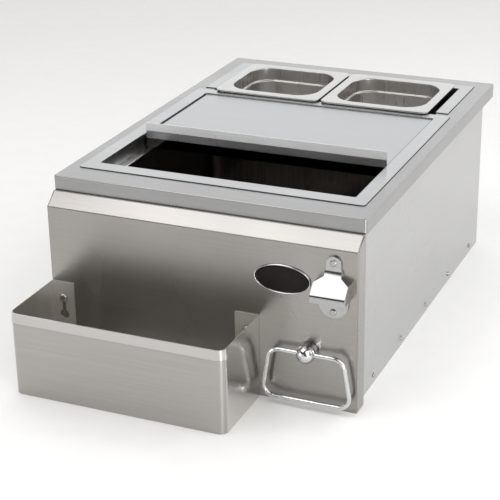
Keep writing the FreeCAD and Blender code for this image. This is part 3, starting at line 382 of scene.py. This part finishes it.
collar_low, collar_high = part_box("well_collar")
holder_low, holder_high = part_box("pan_holder")
bay_side = holder_high.x - HOLDER_ARM
frame_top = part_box("top_frame")[1].z
bead_top = collar_high.z - SHADOW_BEAD_BELOW_PLATE
collar_half = (collar_high - collar_low) / 2
collar_middle = (collar_low + collar_high) / 2
collar_ring = rounded_rings([(collar_half.x, collar_half.y, COLLAR_CORNER, 0, 0)], collar_middle)
shadow_bead("collar_shadow_bead", collar_ring[0, :, :2], frame_top, bead_top, closed=True)
holder_path = [(holder_low.x, holder_high.y), (holder_low.x, holder_low.y), (-bay_side, holder_low.y)]
shadow_bead("holder_shadow_bead_left", holder_path, frame_top, bead_top, closed=False)
holder_path = [(bay_side, holder_low.y), (holder_high.x, holder_low.y), (holder_high.x, holder_high.y)]
shadow_bead("holder_shadow_bead_right", holder_path, frame_top, bead_top, closed=False)

# Sliding lid
# An inverted tray of brushed sheet rides on two nylon glides over the tub's lip.
# Its skirt is polished and painted dark, a painted reflection of the dark well; the strip along its front
# edge is the pull.

lid_sheet = brushed_stainless("brushed stainless lid, skirt painted dark reflection", "#A9AAAB", "#A2A3A4", "X", 0.2)
tree = lid_sheet.node_tree
shader = tree.nodes["Principled BSDF"]
shader.inputs["Anisotropic"].default_value = 0.3
lid_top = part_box("sliding_lid")[1].z
height = add(tree, "SeparateXYZ", {"Vector": add(tree, "TexCoord").outputs["Object"]}).outputs["Z"]
SKIRT_TOP = 3 * MM
BEND = 1 * MM
top = add(tree, "MapRange", {"Value": height, "From Min": lid_top - SKIRT_TOP, "From Max": lid_top - BEND})
top = top.outputs["Result"]
brushed = shader.inputs["Base Color"].links[0].from_socket
# Painted reflection: the skirt below the top is toned dark for the well it mirrors; its low roughness is
# its polish.
tone = add(tree, "MixRGB", {"Fac": top, "Color1": linear("#55514D"), "Color2": brushed})
polish = add(tree, "MapRange", {"Value": top, "To Min": 0.07, "To Max": 0.25})
feed(tree, shader, {"Base Color": tone.outputs["Color"], "Roughness": polish.outputs["Result"]})
dress(lid_sheet, "sliding_lid")
dress(brushed_stainless("polished stainless strip", "#E1E2E2", "#DBDCDC", "X", 0.26), "lid_pull_lip")
dress(moulded("natural nylon, extruded", "#E8E6DE", "#DAD7CB", 0.5, 1.0, 0.05), "lid_glides")

# Condiment pans
# Two standard steam-table pans, drawn from thin sheet, with a turned-down rim and a stacking shoulder.
# Their rims lie on the collar's back margin and on the pan holder.

# Painted light: the pans' walls are toned lighter than their rims, against the shade inside the pans.
pan_steel_painted_light = drawn_stainless("drawn stainless pan, satin, walls painted lighter", "#C5C3C0", "#C1BFBC", 0.30)
edge_tone_above(pan_steel_painted_light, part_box("condiment_pan_left")[1].z - EDGE_TONE_FADE, "#B9B9B8")
PAN_WALL = 0.8 * MM
RIM_CORNER = 10 * MM
RIM_HEIGHT = 3.8 * MM
MOUTH = (73.5 * MM, 65.5 * MM, 36 * MM)
SHOULDER_DROP = 21.2 * MM
SHOULDER_STEP = 3.5 * MM
PAN_TAPER = 3 * MM
RIM_TUCK = 1.6 * MM


def grown(sizes, by):
    """Half sizes and corner of a rounded rectangle moved out by a distance, or in where it is negative."""
    return tuple(size + by for size in sizes)


def condiment_pan(node, body):
    """One pan: its inner skin from the rim's edge down to the floor, then the outer skin back up."""
    low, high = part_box(node)
    rim = ((high.x - low.x) / 2, (high.y - low.y) / 2, RIM_CORNER)
    floor = low.z + PAN_WALL
    shelf = high.z - SHOULDER_DROP
    rim_foot = high.z - RIM_HEIGHT
    neck = grown(MOUTH, -SHOULDER_STEP)
    foot = grown(neck, -PAN_TAPER)
    point = (0, 0, 0)
    tucked = grown(rim, -RIM_TUCK)
    keys = [(*tucked, rim_foot), (*rim, rim_foot + RIM_TUCK), (*rim, high.z), (*MOUTH, high.z),
            (*MOUTH, shelf), (*neck, shelf), (*foot, floor), (*point, floor), (*point, low.z),
            (*grown(foot, PAN_WALL), low.z), (*grown(neck, PAN_WALL), shelf - PAN_WALL),
            (*grown(MOUTH, PAN_WALL), shelf - PAN_WALL), (*grown(MOUTH, PAN_WALL), high.z - PAN_WALL),
            (*grown(tucked, -PAN_WALL), high.z - PAN_WALL), (*tucked, rim_foot)]
    cuts = [1 * MM, 1.6 * MM, 2 * MM, 2.5 * MM, 1.7 * MM, 9 * MM, 0, 0, 9 * MM, 1 * MM, 1 * MM, 1 * MM,
            0.5 * MM]
    stations = eased([(*key, 0) for key in keys], cuts)
    piece = skin(node + "_drawn", rounded_rings(stations, (low + high) / 2), pan_steel_painted_light, body)
    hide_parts(node)


condiment_pan("condiment_pan_left", "pan_left")
condiment_pan("condiment_pan_right", "pan_right")

# Front panel
# The front is one sheet folded into a shallow box, with a sloping top edge and returns down both sides.
# It is brushed side to side like the frame above it.

front_sheet = brushed_stainless("brushed stainless front, grain side to side", "#A4A19E", "#9D9A97", "X",
                                BRUSHED)
rounded_copy("front_panel", "_folded", 1.8 * MM, WIDE_FACE, front_sheet, "cabinet")

# Speed rail
# The bottle trough is folded from sheet, with a hem along its top edge and two tabs with keyholes.
# It hangs on two domed screws in the front panel. The front is brushed, with a painted highlight on its hem
# and a painted shadow line at the hem's fold; the ends are buffed and painted lighter, and the inside is
# painted paler and left duller.

HEM_FOOT = 106.7 * MM
CREASE_HALF = 0.5 * MM
RAIL_CORNER = 13 * MM
SKIN = 1.5 * MM
rail_sheet = brushed_stainless("brushed stainless trough, painted hem highlight", "#AFADAA", "#A7A5A2", "X",
                               BRUSHED)
rail_low, rail_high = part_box("speed_rail")
tree = rail_sheet.node_tree
shader = tree.nodes["Principled BSDF"]
plain = shader.inputs["Base Color"].links[0].from_socket
place = add(tree, "TexCoord").outputs["Object"]
depth, height = add(tree, "SeparateXYZ", {"Vector": place}).outputs[1:]
# The hem along the front, painted lighter as a painted highlight, and a painted shadow line along its fold.
hemmed = add(tree, "Math", {0: depth, 1: rail_low.y + RAIL_CORNER}, operation="LESS_THAN").outputs[0]
above = add(tree, "Math", {0: height, 1: HEM_FOOT}, operation="GREATER_THAN").outputs[0]
above = add(tree, "Math", {0: above, 1: hemmed}, operation="MULTIPLY").outputs[0]
hem_highlighted = add(tree, "MixRGB", {"Fac": above, "Color1": plain, "Color2": linear("#C2C0BE")})
fold = add(tree, "Math", {0: height, 1: HEM_FOOT, 2: CREASE_HALF}, operation="COMPARE").outputs[0]
fold = add(tree, "Math", {0: fold, 1: hemmed}, operation="MULTIPLY").outputs[0]
fold_shadowed = add(tree, "MixRGB", {"Fac": fold, "Color1": hem_highlighted.outputs["Color"],
                               "Color2": linear("#8F8B87")})
# The hollow is a box with rounded front corners, which ends within the thickness of the sheet.
hollow_middle = ((rail_low.x + rail_high.x) / 2, rail_high.y, rail_high.z)
hollow_half = ((rail_high.x - rail_low.x) / 2 - SKIN, rail_high.y - rail_low.y - SKIN,
               rail_high.z - rail_low.z - SKIN / 2)
apart = add(tree, "VectorMath", {0: place, 1: hollow_middle}, operation="SUBTRACT").outputs["Vector"]
away = add(tree, "VectorMath", {0: apart}, operation="ABSOLUTE").outputs["Vector"]
over = add(tree, "VectorMath", {0: away, 1: hollow_half}, operation="SUBTRACT").outputs["Vector"]
sides = add(tree, "SeparateXYZ", {"Vector": over}).outputs
inner_corner = RAIL_CORNER - SKIN
rounding = (inner_corner, inner_corner, 0)
corner = add(tree, "VectorMath", {0: over, 1: rounding}, operation="ADD").outputs["Vector"]
corner = add(tree, "VectorMath", {0: corner, 1: (0, 0, 0)}, operation="MAXIMUM").outputs["Vector"]
corner = add(tree, "VectorMath", {0: corner, 1: (1, 1, 0)}, operation="MULTIPLY").outputs["Vector"]
spread = add(tree, "VectorMath", {0: corner}, operation="LENGTH").outputs["Value"]
within = add(tree, "Math", {0: spread, 1: inner_corner}, operation="LESS_THAN").outputs[0]
below = add(tree, "Math", {0: sides["Z"], 1: 0.0}, operation="LESS_THAN").outputs[0]
hollow = add(tree, "Math", {0: within, 1: below}, operation="MULTIPLY").outputs[0]
# Painted light: inside the hollow the sheet is toned paler, for light on the trough's inner walls; it is
# also rougher.
inside_painted_pale = add(tree, "MixRGB", {"Fac": hollow, "Color1": fold_shadowed.outputs["Color"],
                             "Color2": linear("#DAD7D2")})
dull = add(tree, "MapRange", {"Value": hollow, "To Min": BRUSHED, "To Max": 0.42}).outputs["Result"]
# The ends lie beyond the hollow to the left and the right.
end = add(tree, "Math", {0: sides["X"], 1: 0.0}, operation="GREATER_THAN").outputs[0]
# Painted light: the ends are toned lighter, for light on them; their lower roughness is their buffing.
ends_painted_light = add(tree, "MixRGB", {"Fac": end, "Color1": inside_painted_pale.outputs["Color"], "Color2": linear("#D4D2CF")})
gloss = add(tree, "MapRange", {"Value": end, "To Min": dull, "To Max": 0.18})
feed(tree, shader, {"Base Color": ends_painted_light.outputs["Color"], "Roughness": gloss.outputs["Result"]})
dress(rail_sheet, "speed_rail")

# Badge
# An oval plate with a bright plated rim is bonded to the panel; its face is bare black enamel.
# The enamel pools to a low dome, so it carries a soft highlight.

chrome = fine_metal("chrome plate, polished", "#D5D6D7", "#C6C7C8", 0.08, 9.0, 0.05)
enamel, tree, shader = material_of("black enamel, satin", {"Specular IOR Level": 0.15})
place = add(tree, "TexCoord").outputs["Object"]
pool = add(tree, "TexNoise", {"Vector": place, "Scale": 1 / (5 * MM), "Detail": 2.0}).outputs["Fac"]
black = add(tree, "MixRGB", {"Fac": pool, "Color1": linear("#120F0E"), "Color2": linear("#1E1A18")})
gloss = add(tree, "MapRange", {"Value": pool, "To Min": 0.25, "To Max": 0.40})
feed(tree, shader, {"Base Color": black.outputs["Color"], "Roughness": gloss.outputs["Result"]})
badge_low, badge_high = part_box("badge_rim")
badge_middle = (badge_low + badge_high) / 2
badge_half = (badge_high - badge_low) / 2
RIM_WIDTH = 2.6 * MM
FACE_GAP = 0.15 * MM
FACE_EDGE = 1.2 * MM
FACE_CROWN = 0.7 * MM
ROUND_STEPS = 96
turn = np.linspace(0, 2 * math.pi, ROUND_STEPS, endpoint=False)


def oval_rows(inset, proud):
    """Ovals on the panel's face: each row is the badge's outline moved in by an inset and stood proud."""
    inset, proud = np.asarray(inset)[:, None], np.asarray(proud)[:, None]
    x = badge_middle.x + (badge_half.x - inset) * np.cos(turn)
    z = badge_middle.z + (badge_half.z - inset) * np.sin(turn)
    return np.stack([x, badge_high.y - proud + 0 * x, z], axis=2)


arch = np.linspace(0, math.pi, 13)
rim = skin("badge_rim_plated", oval_rows(RIM_WIDTH / 2 * (1 - np.cos(arch)), RIM_WIDTH * np.sin(arch)),
           chrome, "cabinet", closed_rows=True)
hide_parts("badge_rim")
share = np.linspace(1, 0, 12)
face_rows = oval_rows(RIM_WIDTH + FACE_GAP + 0 * share, FACE_EDGE + FACE_CROWN * (1 - share ** 2))
centre_line = np.array([badge_middle.x, 0, badge_middle.z])
flat = np.array([1, 0, 1])
face_rows = np.where(flat, centre_line + (face_rows - centre_line) * share[:, None, None], face_rows)
edge_row = face_rows[:1] * flat + np.array([0, badge_high.y, 0])
middle_row = np.zeros_like(edge_row) + np.array([badge_middle.x, badge_high.y, badge_middle.z])
badge_face = skin("badge_face_enamel", np.concatenate([middle_row, edge_row, face_rows]), enamel, "cabinet")
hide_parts("badge_face")

# Bottle opener
# The wall opener is one casting, plated bright, with a hood over the bottle cap and a tooth below it.
# Two round-headed screws hold its plate to the panel.

nickel = fine_metal("nickel plate, bright", "#B2B2B1", "#A8A8A7", 0.12, 9.0, 0.05)
rounded_copy("bottle_opener", "_cast", 1.2 * MM, 1.5 * MM, nickel, "cabinet")

# Towel ring
# A wire ring hangs in the eye of a ball-ended post, and one screw from behind holds the post.
# Post and wire are polished and chrome plated.

dress(chrome, "towel_post", "towel_ring")

# Floor and light
# A plain pale floor and large soft lights, as in a small product studio.
# A narrow strip lamp stands low on the right, and draws a bright line down the trough's rounded corner.

floor_paint = moulded("matt white floor paint", "#FBFBFA", "#F8F8F7", 0.75, 40.0, 0.1)
FLOOR_REACH = 8.0
corners = np.array([(-1, -1, 0), (1, -1, 0), (1, 1, 0), (-1, 1, 0)]) * FLOOR_REACH
floor_mesh = bpy.data.meshes.new("floor")
floor_mesh.from_pydata(corners.tolist(), [], [(0, 1, 2, 3)])
floor_mesh.materials.append(floor_paint)
floor = bpy.data.objects.new("floor", floor_mesh)
bpy.context.scene.collection.objects.link(floor)

world = bpy.data.worlds.new("studio")
bpy.context.scene.world = world
world.use_nodes = True
sky = world.node_tree
direction = add(sky, "TexCoord").outputs["Generated"]
rearward = add(sky, "SeparateXYZ", {"Vector": direction}).outputs["Y"]
lift = add(sky, "MapRange", {"Value": rearward, "From Min": -0.5, "From Max": 0.8,
                             "To Min": 0.12, "To Max": 1.38}).outputs["Result"]
tint = add(sky, "MixRGB", {"Fac": lift, "Color1": linear("#FFF8EF"), "Color2": linear("#FFFFFF")})
feed(sky, sky.nodes["Background"], {"Color": tint.outputs["Color"], "Strength": lift})


def softbox(name, spot, target, width, height, power):
    """A rectangular lamp at a spot, turned to a target; sizes in metres, power in watts."""
    lamp = bpy.data.lights.new(name, "AREA")
    lamp.shape = "RECTANGLE"
    lamp.size = width
    lamp.size_y = height
    lamp.energy = power
    item = bpy.data.objects.new(name, lamp)
    item.location = spot
    item.rotation_euler = (Vector(target) - Vector(spot)).to_track_quat("-Z", "Y").to_euler()
    bpy.context.scene.collection.objects.link(item)


middle = (0, 0, 0.15)
softbox("overhead", (-0.75, -1.0, 2.1), middle, 1.4, 1.6, 18)
softbox("front_left", (-0.9, -2.4, 0.45), middle, 1.8, 0.3, 3.0)
softbox("back_right", (1.8, 0.6, 1.3), (0.8, 0.6, 0), 2.0, 2.0, 12)
softbox("front_right", (1.9, -2.0, 1.9), (0.4, -0.5, 0), 2.4, 2.4, 28)
softbox("strip", (1.5, -1.6, 0.28), (0.1, -0.44, 0.06), 0.32, 0.5, 14)

# Camera
# It stands to the right of the front and above it, as the photographer did, with a long lens.

AZIMUTH = math.radians(23.60)
ELEVATION = math.radians(23.18)
ROLL = math.radians(-0.97)
DISTANCE = 2.2329
AIM = Vector((-0.0432, -0.0520, 0.0846))
SENSOR = 36
FOCAL_PIXELS = 1461.7
PHOTO_PIXELS = 500
back = Vector((math.sin(AZIMUTH) * math.cos(ELEVATION), -math.cos(AZIMUTH) * math.cos(ELEVATION),
               math.sin(ELEVATION)))
level = Vector((math.cos(AZIMUTH), math.sin(AZIMUTH), 0))
upright = back.cross(level)
right = level * math.cos(ROLL) + upright * math.sin(ROLL)
up = upright * math.cos(ROLL) - level * math.sin(ROLL)
lens = bpy.data.cameras.new("camera")
lens.sensor_width = SENSOR
lens.lens = SENSOR * FOCAL_PIXELS / PHOTO_PIXELS
camera = bpy.data.objects.new("camera", lens)
turned = Matrix((right, up, back)).transposed().to_4x4()
camera.matrix_world = Matrix.Translation(AIM + back * DISTANCE) @ turned
bpy.context.scene.collection.objects.link(camera)
bpy.context.scene.camera = camera
bpy.context.scene.view_settings.view_transform = "Standard"
